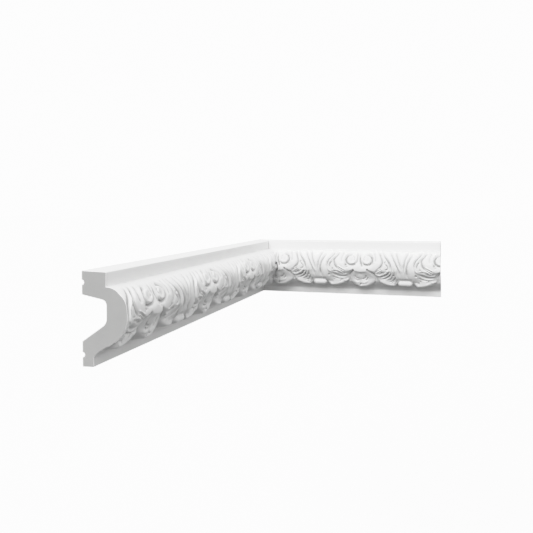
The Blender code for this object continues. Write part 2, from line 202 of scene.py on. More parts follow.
def evenly_along(curve, count):
    """The curve's points again, a count of them at equal distances."""
    travelled = np.r_[0.0, np.cumsum(np.hypot(*np.diff(curve, axis=0).T))]
    at = np.linspace(0.0, travelled[-1], count)
    return np.column_stack([np.interp(at, travelled, curve[:, k]) for k in (0, 1)])


FACE_CURVE = face_curve()


def face_depth(up):
    """Depth of the plain front, without its carving."""
    return np.interp(up, FACE_CURVE[::-1, 1], FACE_CURVE[::-1, 0])


def wrapped(along, centre):
    """Distance along from a centre, on the nearest repeat."""
    return (along - centre + REPEAT / 2) % REPEAT - REPEAT / 2


def undercut_share(along):
    """How much of the undercut there is at each place along the run."""
    return np.interp(wrapped(along, 0.0), *np.array(UNDERCUT_SHARE).T)


def ground_depth(along, up):
    """Depth of the ground behind the hanging leaves."""
    held_back = smooth_step(*UNDERCUT_RISE, up) * (1.0 - smooth_step(*UNDERCUT_FALL, up))
    return face_depth(up) - UNDERCUT * undercut_share(along) * held_back


def leaf_depth(along, up):
    """Depth of the leaves' fronts, which hang upright and flare out above to meet the ovolo."""
    front = LEAF_FRONT - LEAF_TUCK * np.maximum(LEAF_LEVEL - up, 0.0)
    proud = np.maximum(face_depth(up), front)
    hanging = np.minimum(front + LEAF_FLARE * np.maximum(up - LEAF_LEVEL, 0.0) ** LEAF_FLARE_POWER, proud)
    return proud + (hanging - proud) * undercut_share(along)


def leaf_cover(along, up, leaf):
    """How far a leaf's rolled edge has risen: 0 outside the leaf and 1 on its face."""
    across = wrapped(along, leaf.centre)
    above = np.maximum(up - leaf.top, 0.0)
    left = leaf.left * (1 + leaf.lean_left * above)
    right = leaf.right * (1 + leaf.lean_right * above)
    reach = np.where(across < 0, left, right)
    power = np.where(across < 0, leaf.full_left, leaf.full_right)
    drop = leaf.top - leaf.bottom
    sideways = np.abs(across) / np.maximum(reach, 1.0)
    downward = np.maximum(leaf.top - up, 0.0) / drop
    inside = 1.0 - (sideways ** power + downward ** power) ** (1.0 / power)
    rise = np.clip(inside * drop / leaf.roll, 0.0, 1.0)
    return np.sqrt(1.0 - (1.0 - rise) ** 2)


def knot_depth(along, up):
    """Depth of the knot's rolled front, and 0 all round it."""
    beyond = np.maximum(np.abs(wrapped(along, KNOT[0])) - KNOT_HALF_LENGTH, 0.0)
    away = np.hypot(beyond, up - KNOT[1]) / KNOT_RADIUS
    front = KNOT_AXIS_DEPTH + KNOT_SWELL * np.sqrt(np.clip(1.0 - away ** 2, 0.0, 1.0))
    return np.where(away < 1.0, front, 0.0)


def form_depth(along, up):
    """Depth of the large forms: the ovolo, the leaves that hang from it, the ground and the knot."""
    ground = ground_depth(along, up)
    front = leaf_depth(along, up)
    leaves = ground
    for leaf in LEAVES.values():
        risen = ground + np.maximum(front - leaf.set_back - ground, 0.0) * leaf_cover(along, up, leaf)
        leaves = np.maximum(leaves, risen)
    places, edges, reaches = np.array(UPPER_EDGE).T
    at = wrapped(along, 0.0)
    edge = np.interp(at, places, edges)
    reach = np.interp(at, places, reaches)
    depth = leaves + (face_depth(up) - leaves) * smooth_step(edge - reach, edge + reach, up)
    near = 1.0 - smooth_step(*TROUGH_SIDES, np.abs(wrapped(along, KNOT[0])))
    level = smooth_step(*TROUGH_RISE, up) * (1.0 - smooth_step(*TROUGH_FALL, up))
    return np.maximum(depth - TROUGH_DEPTH * near * level, knot_depth(along, up))


def smooth_line(points, per_span=6):
    """A Catmull-Rom curve through given points."""
    padded = [points[0]] + list(points) + [points[-1]]
    line = [points[0]]
    for a, b, c, d in zip(padded, padded[1:], padded[2:], padded[3:]):
        for i in range(1, per_span + 1):
            t = i / per_span
            weights = (2 * t ** 2 - t - t ** 3, 2 - 5 * t ** 2 + 3 * t ** 3,
                       t + 4 * t ** 2 - 3 * t ** 3, t ** 3 - t ** 2)
            line.append(tuple(sum(w * p[k] for w, p in zip(weights, (a, b, c, d))) / 2 for k in (0, 1)))
    return np.array(line)


def between(first, last, count):
    """Lines spaced evenly from a first to a last one."""
    shares = [i / (count - 1) for i in range(count)]
    return [[tuple((1 - s) * p[k] + s * q[k] for k in (0, 1)) for p, q in zip(first, last)] for s in shares]


def bell(away):
    """A rounded profile: 1 in the middle and 0 from a distance of 1 on."""
    return np.clip(1.0 - away ** 2, 0.0, 1.0) ** 1.5


class Carving:
    """The height carved over a sheet of points, cut by cut."""

    def __init__(self, along, up):
        self.along = along
        self.up = up
        self.height = np.zeros_like(up)

    def beside(self, line, width, fade):
        """The points within a width of a line, their distances from it, and how much of the cut each keeps
        as it fades over the first and the last share of the line's length."""
        middle = line[:, 0].mean()
        x = middle + wrapped(self.along, middle)
        near = ((x > line[:, 0].min() - width) & (x < line[:, 0].max() + width)
                & (self.up > line[:, 1].min() - width) & (self.up < line[:, 1].max() + width))
        x, y = x[near], self.up[near]
        lengths = np.hypot(*np.diff(line, axis=0).T)
        starts = np.r_[0.0, np.cumsum(lengths)]
        best = np.full(x.shape, np.inf)
        place = np.zeros(x.shape)
        for (x0, y0), (x1, y1), start, length in zip(line, line[1:], starts, lengths):
            t = ((x - x0) * (x1 - x0) + (y - y0) * (y1 - y0)) / max(length, SHORTEST_STRETCH) ** 2
            t = np.clip(t, 0.0, 1.0)
            away = np.hypot(x - x0 - t * (x1 - x0), y - y0 - t * (y1 - y0))
            closer = away < best
            best = np.where(closer, away, best)
            place = np.where(closer, (start + t * length) / starts[-1], place)
        ends = smooth_step(FADE_START, fade[0], place) * smooth_step(FADE_START, fade[1], 1.0 - place)
        return near, best, ends

    def rounded_line(self, points, width, height, fade):
        """A rounded rise along a line, as wide as the width to each side; a negative height sinks."""
        near, best, ends = self.beside(smooth_line(points), width, fade)
        self.height[near] += height * ends * bell(best / width)

    def ridge(self, points, width, height, fade=(0.25, 0.25)):
        """A rounded ridge along a line, fading at its ends."""
        self.rounded_line(points, width, RIDGE_GAIN * height, fade)

    def groove(self, points, width, depth, fade=(0.25, 0.25)):
        """A rounded groove along a line, fading at its ends."""
        self.rounded_line(points, width, -GROOVE_GAIN * depth, fade)

    def crease(self, points, width, depth, fade=(0.1, 0.25)):
        """A cut with a sharp bottom and sides that round over, so that the bands between creases are full."""
        near, best, ends = self.beside(smooth_line(points), width, fade)
        self.height[near] -= depth * ends * np.clip(1.0 - best / width, 0.0, 1.0) ** 2

    def dome(self, centre, radius, height, stretch=1.0):
        """A round swelling, stretched along the run."""
        away = np.hypot(wrapped(self.along, centre[0]) / stretch, self.up - centre[1]) / radius
        self.height += height * bell(away)

    def disc(self, centre, radius, height):
        """A disc with a crowned face and a steep rim."""
        away = np.hypot(wrapped(self.along, centre[0]), self.up - centre[1]) / radius
        self.height += height * np.sqrt(np.clip(1.0 - away ** 4, 0.0, 1.0))

    def pit(self, centre, radius, depth):
        """A round hollow."""
        self.dome(centre, radius, -depth)


def round_volute(centre, side, reach, rise, angles):
    """Points round a volute, at angles in degrees from straight up towards its outer side."""
    return [(centre[0] + side * reach * sin(radians(a)), centre[1] + rise * cos(radians(a))) for a in angles]


def carve_volutes(cut):
    """Two scrolls whose bands come down from the top fillet and curl round a disc with a small eye."""
    for centre, side in ((LEFT_VOLUTE, -1.0), (RIGHT_VOLUTE, 1.0)):
        # The wide dish that the volute lies in, its disc and the disc's sunk middle.
        cut.dome((centre[0], centre[1] - 1.0), 15.0, -2.2)
        cut.disc(centre, VOLUTE_RADIUS, VOLUTE_SWELL)
        cut.dome(centre, 6.0, -1.1)
        # The cut round the disc, deepest on its outer side.
        rim = round_volute(centre, side, VOLUTE_RIM, VOLUTE_RIM, range(-14, 251, 24))
        cut.groove(rim, 2.3, 1.0, (0.12, 0.2))
        cut.crease(rim, 4.0, 1.3, (0.12, 0.2))
        cut.groove(rim[2:7], 1.7, 0.5, (0.3, 0.3))
        # The band outside the cut, and the small eye on the disc.
        band = round_volute(centre, side, *VOLUTE_BAND, range(20, 141, 24))
        cut.ridge(band, 2.2, 0.7, (0.3, 0.3))
        eye = [(2.2, 6.2), (4.8, 3.8), (4.9, 0.8), (2.6, -1.0)]
        cut.groove([(centre[0] - side * x, centre[1] + y) for x, y in eye], 1.5, 0.9, (0.2, 0.3))
    # The drilled dot and the notch under the left volute, and the creases outside both volutes' bands.
    cut.pit((-18.6, 51.4), 2.8, 3.0)
    cut.groove([(-19.8, 47.6), (-15.4, 49.2)], 1.7, 1.0)
    cut.crease([(-22.6, 71.2), (-25.0, 66.5), (-26.0, 61.0), (-25.4, 55.0)], 4.2, 2.2)
    cut.crease([(25.6, 71.2), (27.6, 66.8), (28.6, 61.0), (28.8, 55.6)], 4.2, 2.2)


def carve_stem_and_collar(cut):
    """The stem between the volutes and the collar that the pendant hangs from."""
    # The stem's left and right sides.
    cut.groove([(-0.4, 71.4), (-0.2, 65.0), (-0.6, 58.5), (-2.6, 54.0)], 1.8, 1.3)
    cut.groove([(4.0, 71.0), (3.8, 63.7), (4.6, 57.5), (6.2, 52.4), (7.6, 48.4)], 2.0, 1.9, (0.4, 0.08))
    # The collar's swell, and the lines that run down from it at both sides of the pendant.
    cut.dome((3.5, 47.0), 8.0, 1.2, 1.4)
    left_side = [(-6.6, 44.8), (-8.4, 41.5), (-11.4, 39.0), (-13.6, 36.0), (-14.2, 32.0)]
    cut.groove(left_side, 2.2, 1.2, (0.12, 0.3))
    right_side = [(14.2, 45.8), (16.6, 42.0), (20.4, 39.6), (24.4, 37.6), (27.0, 34.0), (29.0, 30.4)]
    cut.groove(right_side, 1.8, 0.7, (0.12, 0.3))
    cut.pit((15.4, 43.8), 2.4, 1.4)


def carve_left_scroll(cut):
    """The scroll to the left of the volutes, its bars and the curved folds of the leaf below it."""
    # The two long bends, the ridge between them and the curl inside.
    inner_bend = [(-34.5, 65.6), (-37.9, 59.7), (-36.8, 52.4), (-33.8, 46.9), (-30.6, 42.5)]
    cut.groove([(-30.0, 71.0)] + inner_bend, 2.0, 0.8, (0.1, 0.25))
    cut.crease([(-29.4, 72.0)] + inner_bend, 4.4, 2.6)
    outer_bend = [(-43.6, 63.4), (-47.8, 57.7), (-49.0, 50.0), (-47.8, 42.6)]
    cut.groove([(-37.4, 70.8)] + outer_bend, 1.8, 0.7, (0.1, 0.35))
    cut.crease([(-36.6, 71.8)] + outer_bend, 4.2, 2.5, (0.1, 0.4))
    cut.ridge([(-36.2, 67.6), (-43.4, 59.6), (-47.3, 51.5), (-46.6, 43.8), (-41.0, 38.6)], 2.2, 1.1)
    cut.groove([(-40.0, 57.7), (-43.5, 54.5), (-45.0, 50.2), (-43.8, 46.6)], 1.3, 1.1, (0.2, 0.35))
    cut.pit((-40.0, 45.2), 1.7, 1.4)
    cut.groove([(-40.5, 42.4), (-36.0, 41.2), (-31.0, 41.6)], 1.6, 0.5)
    # The bars and the gaps between them.
    bars = between([(-32.0, 50.2), (-25.2, 46.2), (-18.6, 43.0)],
                   [(-30.0, 43.4), (-26.0, 40.2), (-22.4, 38.0)], 3)
    gaps = between([(-31.4, 48.2), (-24.8, 44.6), (-19.4, 41.6)],
                   [(-30.6, 45.2), (-25.4, 41.8), (-21.4, 39.6)], 2)
    for line in bars:
        cut.ridge(line, 1.5, 1.1, (0.15, 0.3))
    for line in gaps:
        cut.groove(line, 1.3, 0.9, (0.1, 0.3))
    # The leaf's folds, from the bars down.
    cut.ridge([(-39.0, 40.4), (-31.4, 37.1), (-25.0, 35.6), (-19.6, 36.2), (-14.6, 39.0)], 2.2, 0.8)
    cut.groove([(-42.5, 38.6), (-37.0, 35.2), (-30.6, 32.6), (-24.0, 32.6), (-18.0, 33.8)], 1.4, 0.5)
    cut.ridge([(-43.5, 36.0), (-37.4, 32.6), (-30.6, 30.2), (-24.0, 30.2), (-17.0, 31.2)], 1.7, 0.6)
    cut.groove([(-43.0, 32.6), (-37.0, 29.6), (-31.0, 27.6), (-24.5, 27.8)], 1.4, 0.5)
    # Its drilled dots, and the short lines on its lower edge.
    cut.pit((-46.5, 35.2), 2.1, 2.6)
    cut.pit((-39.6, 26.6), 1.6, 1.6)
    cut.ridge([(-24.0, 24.8), (-15.0, 28.0)], 2.4, 0.7)
    cut.groove([(-25.4, 27.4), (-29.0, 24.6), (-31.6, 22.6)], 1.6, 0.9, (0.3, 0.5))
    cut.groove([(-42.5, 24.6), (-42.2, 20.4)], 1.4, 0.6, (0.3, 0.5))


def carve_right_scroll(cut):
    """The scroll to the right of the volutes, its bars and the curved folds of the leaf below it."""
    # The inner bend, with the bars and gaps that end on it.
    inner_bend = [(36.6, 65.6), (38.7, 58.7), (38.5, 53.4), (36.0, 48.4), (31.0, 44.0)]
    cut.groove([(34.0, 71.0)] + inner_bend + [(26.0, 41.8)], 2.0, 0.8, (0.1, 0.2))
    cut.crease([(33.4, 72.0)] + inner_bend, 4.4, 2.5)
    gaps = between([(27.6, 41.0), (33.0, 42.7), (37.8, 46.2)],
                   [(35.4, 38.7), (37.4, 40.0), (40.0, 41.8)], 3)
    bars = between([(29.4, 40.4), (34.4, 42.0), (38.6, 45.0)],
                   [(33.6, 39.2), (36.6, 40.6), (39.6, 42.6)], 2)
    for line in gaps:
        cut.groove(line, 1.3, 1.2, (0.15, 0.15))
    for line in bars:
        cut.ridge(line, 1.2, 1.1, (0.15, 0.15))
    # The curl outside it, and the folds below.
    curl = [(45.5, 57.7), (43.0, 56.5), (43.2, 54.0), (45.5, 51.8), (47.5, 48.6), (46.5, 45.2), (43.0, 44.2)]
    cut.groove(curl, 1.5, 1.1, (0.1, 0.1))
    cut.pit((44.2, 41.2), 1.9, 1.2)
    cut.ridge([(26.4, 37.8), (32.0, 35.3), (38.0, 36.1), (44.0, 39.2), (48.0, 43.4)], 2.1, 1.3, (0.1, 0.25))
    cut.groove([(33.0, 32.8), (39.0, 33.8), (45.0, 36.6), (50.5, 42.6)], 1.4, 0.9, (0.2, 0.3))
    cut.ridge([(34.0, 30.6), (41.0, 31.8), (47.0, 35.0), (52.0, 41.0)], 1.4, 0.9)
    cut.groove([(38.5, 29.3), (45.0, 31.4), (50.0, 35.2), (53.2, 40.6)], 1.3, 0.9, (0.2, 0.3))
    # The border that runs from the leaf's foot up to the top, and the outer bend inside it.
    border = [(39.0, 27.2), (46.0, 29.4), (51.6, 33.6), (55.0, 40.4), (55.2, 46.9), (52.6, 56.0),
              (47.6, 63.0), (41.4, 69.8)]
    cut.ridge(border, 2.1, 1.2)
    outer_bend = [(45.2, 62.3), (49.8, 54.5), (51.6, 48.0), (51.0, 42.5)]
    cut.groove([(40.6, 69.0)] + outer_bend, 1.6, 0.7, (0.1, 0.3))
    cut.crease([(39.0, 71.8)] + outer_bend, 4.2, 2.2, (0.1, 0.4))
    # The leaf's swelling foot, its drilled dots and the hook round them.
    cut.dome((40.0, 24.6), 5.0, 0.9, 1.6)
    cut.pit((56.2, 35.4), 2.1, 2.0)
    cut.groove([(58.4, 34.0), (57.8, 30.0), (55.2, 26.6), (52.0, 24.8), (49.2, 26.0)], 1.3, 1.2)
    cut.pit((50.5, 28.7), 1.5, 1.0)
    # The short bars at its tip.
    tip_gaps = between([(58.6, 31.4), (56.4, 25.6), (51.6, 20.6)],
                       [(62.4, 30.0), (59.6, 24.2), (56.4, 19.4)], 3)
    tip_bars = between([(60.0, 31.0), (57.8, 25.0), (53.6, 20.2)],
                       [(61.6, 30.4), (58.8, 24.6), (55.2, 19.8)], 2)
    for line in tip_gaps:
        cut.groove(line, 1.1, 1.0, (0.25, 0.1))
    for line in tip_bars:
        cut.ridge(line, 0.9, 0.5, (0.25, 0.1))


def carve_fan(cut):
    """Flutes that narrow towards the knot."""
    # Each cut between two flutes, and how it fades at its head and at its foot.
    cuts = (
        ([(51.6, 72.0), (56.2, 61.8), (60.2, 53.0), (64.2, 43.4), (66.6, 34.2), (67.4, 29.0)], (0.1, 0.5)),
        ([(60.0, 72.0), (62.7, 63.7), (65.2, 55.6), (67.7, 48.0), (69.4, 40.0)], (0.1, 0.5)),
        ([(78.5, 72.0), (74.9, 63.7), (72.9, 55.6), (71.9, 46.9), (71.9, 38.0)], (0.1, 0.4)),
        ([(86.6, 70.6), (81.4, 62.5), (77.9, 54.5), (76.4, 46.9), (76.9, 37.3), (79.6, 28.0)], (0.2, 0.3)),
    )
    for line, fade in cuts:
        cut.groove(line, 1.7, 0.45, fade)
        cut.crease(line, 4.2, 2.0, fade)
    # The flutes' rounded middles.
    cut.ridge([(57.0, 68.5), (60.4, 58.8), (64.4, 47.6), (67.4, 39.0)], 2.2, 0.7)
    cut.ridge([(68.6, 69.0), (69.2, 58.8), (70.0, 47.6)], 2.8, 0.5)
    cut.ridge([(81.6, 68.6), (77.0, 58.8), (74.4, 47.6), (74.2, 36.0)], 2.0, 0.7)


def carve_pendant(cut):
    """The rolled leaf under the collar: a ball with two curls, two soft tips and a parting."""
    # The ball, its left and right curls, the lines under them and the swell between them.
    cut.dome((5.0, 29.0), 19.0, 2.6)
    cut.groove([(-4.6, 35.6), (-4.4, 32.4), (-1.8, 30.6), (0.6, 31.4)], 1.2, 0.8, (0.2, 0.1))
    cut.groove([(11.4, 36.2), (12.6, 33.8), (11.4, 31.2), (8.4, 30.0), (6.0, 31.0)], 1.3, 1.2, (0.2, 0.1))
    cut.groove([(15.6, 32.6), (14.4, 29.0), (11.0, 27.4)], 1.2, 0.9)
    cut.groove([(-4.6, 29.2), (-1.0, 27.4), (1.4, 28.6)], 1.2, 0.9)
    cut.dome((3.4, 33.6), 4.6, 0.8, 1.4)
    # The soft tips and the parting.
    cut.ridge([(-6.8, 27.0), (-3.6, 25.0), (-0.4, 25.0), (2.0, 27.6)], 2.6, 0.5, (0.2, 0.2))
    cut.ridge([(4.0, 27.6), (7.0, 25.0), (11.0, 25.2), (14.4, 28.0)], 2.7, 0.6, (0.2, 0.2))
    cut.groove([(5.4, 23.0), (3.4, 20.6), (0.6, 18.4)], 1.8, 1.6, (0.1, 0.4))


def carved_height(along, up):
    """All the cuts together: how far the carving stands proud of the large forms, or lies behind them."""
    carving = Carving(along, up)
    carve_volutes(carving)
    carve_stem_and_collar(carving)
    carve_left_scroll(carving)
    carve_right_scroll(carving)
    carve_fan(carving)
    carve_pendant(carving)
    return carving.height


def relaxed(points, spacing, rounds=14):
    """Spreads the sheet's points evenly where the carving is steep, and leaves them where it is flat."""
    shift = np.array((REPEAT, 0.0, 0.0))
    for _ in range(rounds):
        left = np.vstack([points[-2:-1] - shift, points[:-1]])
        right = np.vstack([points[1:], points[1:2] + shift])
        below = np.hstack([points[:, 1:], points[:, -1:]])
        above = np.hstack([points[:, :1], points[:, :-1]])
        edges = [np.linalg.norm(points - near, axis=2) for near in (left, right, below, above)]
        longest = np.max(edges, axis=0)
        stretch = (longest / spacing - STRETCH_START) / (STRETCH_FULL - STRETCH_START)
        share = EVENING_SHARE * np.clip(stretch, 0.0, 1.0)[..., None]
        share[:, [0, -1]] = 0.0
        points = points + share * ((left + right + below + above) / 4 - points)
    return points


def recesses(depth, rounds=18):
    """How far each point lies behind the mean of its neighbourhood."""
    mean = depth[:-1]
    for _ in range(rounds):
        mean = (np.roll(mean, 1, axis=0) + 2 * mean + np.roll(mean, -1, axis=0)) / 4
        padded = np.pad(mean, ((0, 0), (1, 1)), mode="edge")
        mean = (padded[:, :-2] + 2 * mean + padded[:, 2:]) / 4
    return np.vstack([mean, mean[:1]]) - depth


def carved_sheet(columns, rows):
    """The carved front over one repeat, as a grid of points, and how deep each lies in a cut."""
    curve = evenly_along(FACE_CURVE, rows)
    along, up = np.meshgrid(np.linspace(0.0, REPEAT, columns + 1), curve[:, 1], indexing="ij")
    slope = face_depth(up + 0.5) - face_depth(up - 0.5)
    carved = carved_height(along, up)
    form = form_depth(along, up)
    height = carved / np.sqrt(1.0 + slope ** 2)
    points = np.stack([along, -form - height, up - slope * height], axis=2)
    # The primer's painted shade darkens each point by how far it lies behind its surroundings.
    behind = recesses(carved + FORM_PAINTED_SHADE * (form - face_depth(up)))
    behind[:, [0, -1]] = 0.0
    return relaxed(points, REPEAT / columns), behind


def arc(centre, radius, start, end, steps):
    """Points on an arc, with angles in degrees."""
    angles = (radians(start + (end - start) * i / steps) for i in range(steps + 1))
    return [(centre[0] + radius * cos(a), centre[1] + radius * sin(a)) for a in angles]


def rounded_corner(before, corner, after, radius, steps):
    """A corner between two straight stretches, rounded by a curve between its tangent points."""
    corner = Vector(corner)
    ins = (Vector(before) - corner).normalized()
    out = (Vector(after) - corner).normalized()
    start = corner + ins * radius
    end = corner + out * radius
    blend = ((1 - i / steps, i / steps) for i in range(steps + 1))
    return [tuple(a * a * start + 2 * a * b * corner + b * b * end) for a, b in blend]


def soft_arris(before, corner, after, steps=3):
    """An outer corner worn to a small true arc."""
    corner = Vector(corner)
    ins = (Vector(before) - corner).normalized()
    out = (Vector(after) - corner).normalized()
    half = ins.angle(out) / 2
    centre = corner + (ins + out).normalized() * (ARRIS_RADIUS / sin(half))
    start = ins * (ARRIS_RADIUS / sin(half) * cos(half)) + corner - centre
    end = out * (ARRIS_RADIUS / sin(half) * cos(half)) + corner - centre
    return [tuple(centre + start.slerp(end, i / steps)) for i in range(steps + 1)]


def primed_outline():
    """The painted part of the section's outline below and above the carving, in two runs."""
    head = (BOTTOM_FILLET_DEPTH, BOTTOM_FILLET_TOP)
    foot = (BOTTOM_FILLET_DEPTH, BOTTOM_FILLET_EDGE)
    under = soft_arris(head, foot, (0.0, 0.0)) + [(0.0, 0.0)]
    nose = (TOP_FILLET_DEPTH, TOP_FILLET_EDGE)
    over = [(0.0, HEIGHT)] + soft_arris((0.0, HEIGHT), nose, (TOP_FILLET_DEPTH, OVOLO_TOP))
    return under, over


def bare_outline():
    """The unpainted back, from the bottom edge up, with its grooves and hollow."""
    points = arc((0.0, LOWER_GROOVE), GROOVE_RADIUS, -90, 90, GROOVE_STEPS)
    low, high = (0.0, HOLLOW_BOTTOM), (0.0, HOLLOW_TOP)
    inner_low, inner_high = (HOLLOW_DEPTH, HOLLOW_FACE_BOTTOM), (HOLLOW_DEPTH, HOLLOW_FACE_TOP)
    points += [low] + rounded_corner(low, inner_low, inner_high, HOLLOW_CORNER, HOLLOW_CORNER_STEPS)
    points += rounded_corner(inner_low, inner_high, high, HOLLOW_CORNER, HOLLOW_CORNER_STEPS) + [high]
    return points + arc((0.0, UPPER_GROOVE), GROOVE_RADIUS, -90, 90, GROOVE_STEPS)


def one_repeat(columns, rows):
    """An open tube of the moulding over one repeat of its carving, with its plain faces in one piece each."""
    sheet, behind = carved_sheet(columns, rows)
    under, over = primed_outline()
    bare = bare_outline()
    plain = under + bare + over
    mesh = bmesh.new()
    carved = mesh.faces.layers.bool.new("carved")
    unpainted = mesh.faces.layers.bool.new("unpainted")
    # Each point's recess, which the primer's painted shade reads.
    recess = mesh.verts.layers.float.new("recess")
    grid = [[mesh.verts.new(co) for co in column] for column in sheet]
    for column, values in zip(grid, behind):
        for vert, value in zip(column, values):
            vert[recess] = value
    ends = [[mesh.verts.new((x, -depth, up)) for depth, up in plain] for x in (0.0, REPEAT)]
    for near, far in zip(grid, grid[1:]):
        for a, b, c, d in zip(near, near[1:], far[1:], far):
            mesh.faces.new((a, b, c, d))[carved] = True
    for i, (a, b, c, d) in enumerate(zip(ends[0], ends[0][1:], ends[1][1:], ends[1])):
        mesh.faces.new((a, b, c, d))[unpainted] = len(under) - 1 <= i < len(under) + len(bare)
    mesh.faces.new([column[-1] for column in reversed(grid)] + [ends[0][0], ends[1][0]])
    mesh.faces.new([column[0] for column in grid] + [ends[1][-1], ends[0][-1]])
    data = bpy.data.meshes.new("one repeat")
    mesh.to_mesh(data)
    mesh.free()
    return data


class Socket:
    """A node's output that can be added to, multiplied and subtracted from."""

    def __init__(self, tree, output):
        self.tree = tree
        self.output = output

    def math(self, operation, first, second):
        node = self.tree.nodes.new("ShaderNodeMath")
        node.operation = operation
        for socket, value in zip(node.inputs, (first, second)):
            if isinstance(value, Socket):
                self.tree.links.new(value.output, socket)
            else:
                socket.default_value = value
        return Socket(self.tree, node.outputs[0])

    def __add__(self, other):
        return self.math("ADD", self, other)

    def __radd__(self, other):
        return self.math("ADD", other, self)

    def __mul__(self, other):
        return self.math("MULTIPLY", self, other)

    def __rmul__(self, other):
        return self.math("MULTIPLY", other, self)

    def __sub__(self, other):
        return self.math("SUBTRACT", self, other)

    def __rsub__(self, other):
        return self.math("SUBTRACT", other, self)


class Nodes:
    """A node tree, with the one way in which its nodes are made."""

    def __init__(self, tree):
        self.tree = tree

    def feed(self, socket, value):
        """Links a node's output to a socket, or sets the socket's own value."""
        if isinstance(value, Socket):
            self.tree.links.new(value.output, socket)
        else:
            socket.default_value = value

    def node(self, kind, output=None, settings=None, **values):
        """A new node's first or named output, after its settings and its sockets' values or links are set."""
        made = self.tree.nodes.new(kind)
        for name, value in (settings or {}).items():
            setattr(made, name, value)
        sockets = {socket.name.replace(" ", "_"): socket for socket in made.inputs if socket.enabled}
        for name, value in values.items():
            self.feed(sockets[name], value)
        for socket in made.outputs:
            if socket.enabled and output in (None, socket.name):
                return Socket(self.tree, socket)
        return None


def repeat_tree():
    """Geometry Nodes that lay one repeat end to end along a run and give its faces their finishes."""
    tree = bpy.data.node_groups.new("lay repeats along a run", "GeometryNodeTree")
    nodes = Nodes(tree)

    def given(name, kind):
        """One of the tree's named inputs."""
        tree.interface.new_socket(name, in_out="INPUT", socket_type=kind)
        return nodes.node("NodeGroupInput", name)

    repeat = given("Repeat", "NodeSocketGeometry")
    count = given("Count", "NodeSocketInt")
    offset = nodes.node("ShaderNodeCombineXYZ", X=given("Repeat Length", "NodeSocketFloat"))
    first = nodes.node("ShaderNodeCombineXYZ", X=given("First Repeat At", "NodeSocketFloat"))
    tolerance = given("Joint Tolerance", "NodeSocketFloat")
    painted = given("Painted Finish", "NodeSocketMaterial")
    bare = given("Bare Finish", "NodeSocketMaterial")
    places = nodes.node("GeometryNodeMeshLine", Count=count, Start_Location=first, Offset=offset)
    laid = nodes.node("GeometryNodeInstanceOnPoints", Points=places, Instance=repeat)
    real = nodes.node("GeometryNodeRealizeInstances", Geometry=laid)
    joined = nodes.node("GeometryNodeMergeByDistance", Geometry=real, Distance=tolerance)
    coated = nodes.node("GeometryNodeSetMaterial", Geometry=joined, Material=painted)
    is_bare = nodes.node("GeometryNodeInputNamedAttribute", settings={"data_type": "BOOLEAN"},
                         Name="unpainted")
    run = nodes.node("GeometryNodeSetMaterial", Geometry=coated, Selection=is_bare, Material=bare)
    tree.interface.new_socket("Run", in_out="OUTPUT", socket_type="NodeSocketGeometry")
    nodes.node("NodeGroupOutput", Run=run)
    return tree


def laid_run(tree, repeat, count, first, painted, bare):
    """The repeats laid end to end, as a plain mesh."""
    carrier = bpy.data.objects.new("run", repeat)
    bpy.context.scene.collection.objects.link(carrier)
    modifier = carrier.modifiers.new("repeats", "NODES")
    modifier.node_group = tree
    values = {
        "Count": count,
        "Repeat Length": REPEAT,
        "First Repeat At": first,
        "Joint Tolerance": JOINT_TOLERANCE,
        "Painted Finish": painted,
        "Bare Finish": bare,
    }
    for item in tree.interface.items_tree:
        if item.name in values:
            modifier[item.identifier] = values[item.name]
    graph = bpy.context.evaluated_depsgraph_get()
    data = bpy.data.meshes.new_from_object(carrier.evaluated_get(graph))
    bpy.data.objects.remove(carrier, do_unlink=True)
    return data


def cut_open(mesh, point, normal):
    """Cuts off what lies in front of a plane and returns the edges of the opening."""
    everything = mesh.verts[:] + mesh.edges[:] + mesh.faces[:]
    cut = bmesh.ops.bisect_plane(mesh, geom=everything, plane_co=point, plane_no=normal,
                                 clear_outer=True, dist=PLANE_TOLERANCE)["geom_cut"]
    return [item for item in cut if isinstance(item, bmesh.types.BMEdge)]


def close_with_face(mesh, edges, finish):
    """Closes an opening with one face of a finish, given by its place in the list of finishes."""
    for face in bmesh.ops.contextual_create(mesh, geom=edges)["faces"]:
        face.material_index = finish


def chamfered_rim(mesh, edges, normal, width):
    """A narrow painted chamfer round an opening; returns the edges of its inner side."""
    outward = {}
    for edge in edges:
        across = edge.link_faces[0].normal
        flat = (across - normal * across.dot(normal)).normalized()
        for vert in edge.verts:
            outward.setdefault(vert, []).append(flat)
    inner = {}
    for vert, (one, other) in outward.items():
        offset = (one + other) / max(1.0 + one.dot(other), TIGHT_BEND) * width
        inner[vert] = mesh.verts.new(vert.co + normal * width - offset)
    rim = []
    for edge in edges:
        a, b = edge.verts
        face = mesh.faces.new((a, b, inner[b], inner[a]))
        face.material_index = 0
        rim.append(mesh.edges.get((inner[a], inner[b])))
    return rim


def finished_length(name, data, cuts, place, finishes):
    """Cuts a run to its length, closes and smooths it, and puts it in its place in metres."""
    mesh = bmesh.new()
    mesh.from_mesh(data)
    bmesh.ops.recalc_face_normals(mesh, faces=mesh.faces)
    sawn = len(finishes) - 1
    for point, normal, chamfer in cuts:
        normal = Vector(normal).normalized()
        edges = cut_open(mesh, Vector(point) - normal * chamfer, normal)
        if chamfer:
            mesh.normal_update()
            edges = chamfered_rim(mesh, edges, normal, chamfer)
        close_with_face(mesh, edges, sawn)
    bmesh.ops.recalc_face_normals(mesh, faces=mesh.faces)
    carved = mesh.faces.layers.bool["carved"]
    for face in mesh.faces:
        face.smooth = True
    for edge in mesh.edges:
        both_carved = all(face[carved] for face in edge.link_faces)
        edge.smooth = both_carved or edge.calc_face_angle(0.0) < SMOOTH_TURN
    mesh.transform(place @ Matrix.Scale(MM, 4))
    mesh.to_mesh(data)
    mesh.free()
    data.name = name
    data.materials.append(finishes[-1])
    piece = bpy.data.objects.new(name, data)
    bpy.context.scene.collection.objects.link(piece)
    return piece


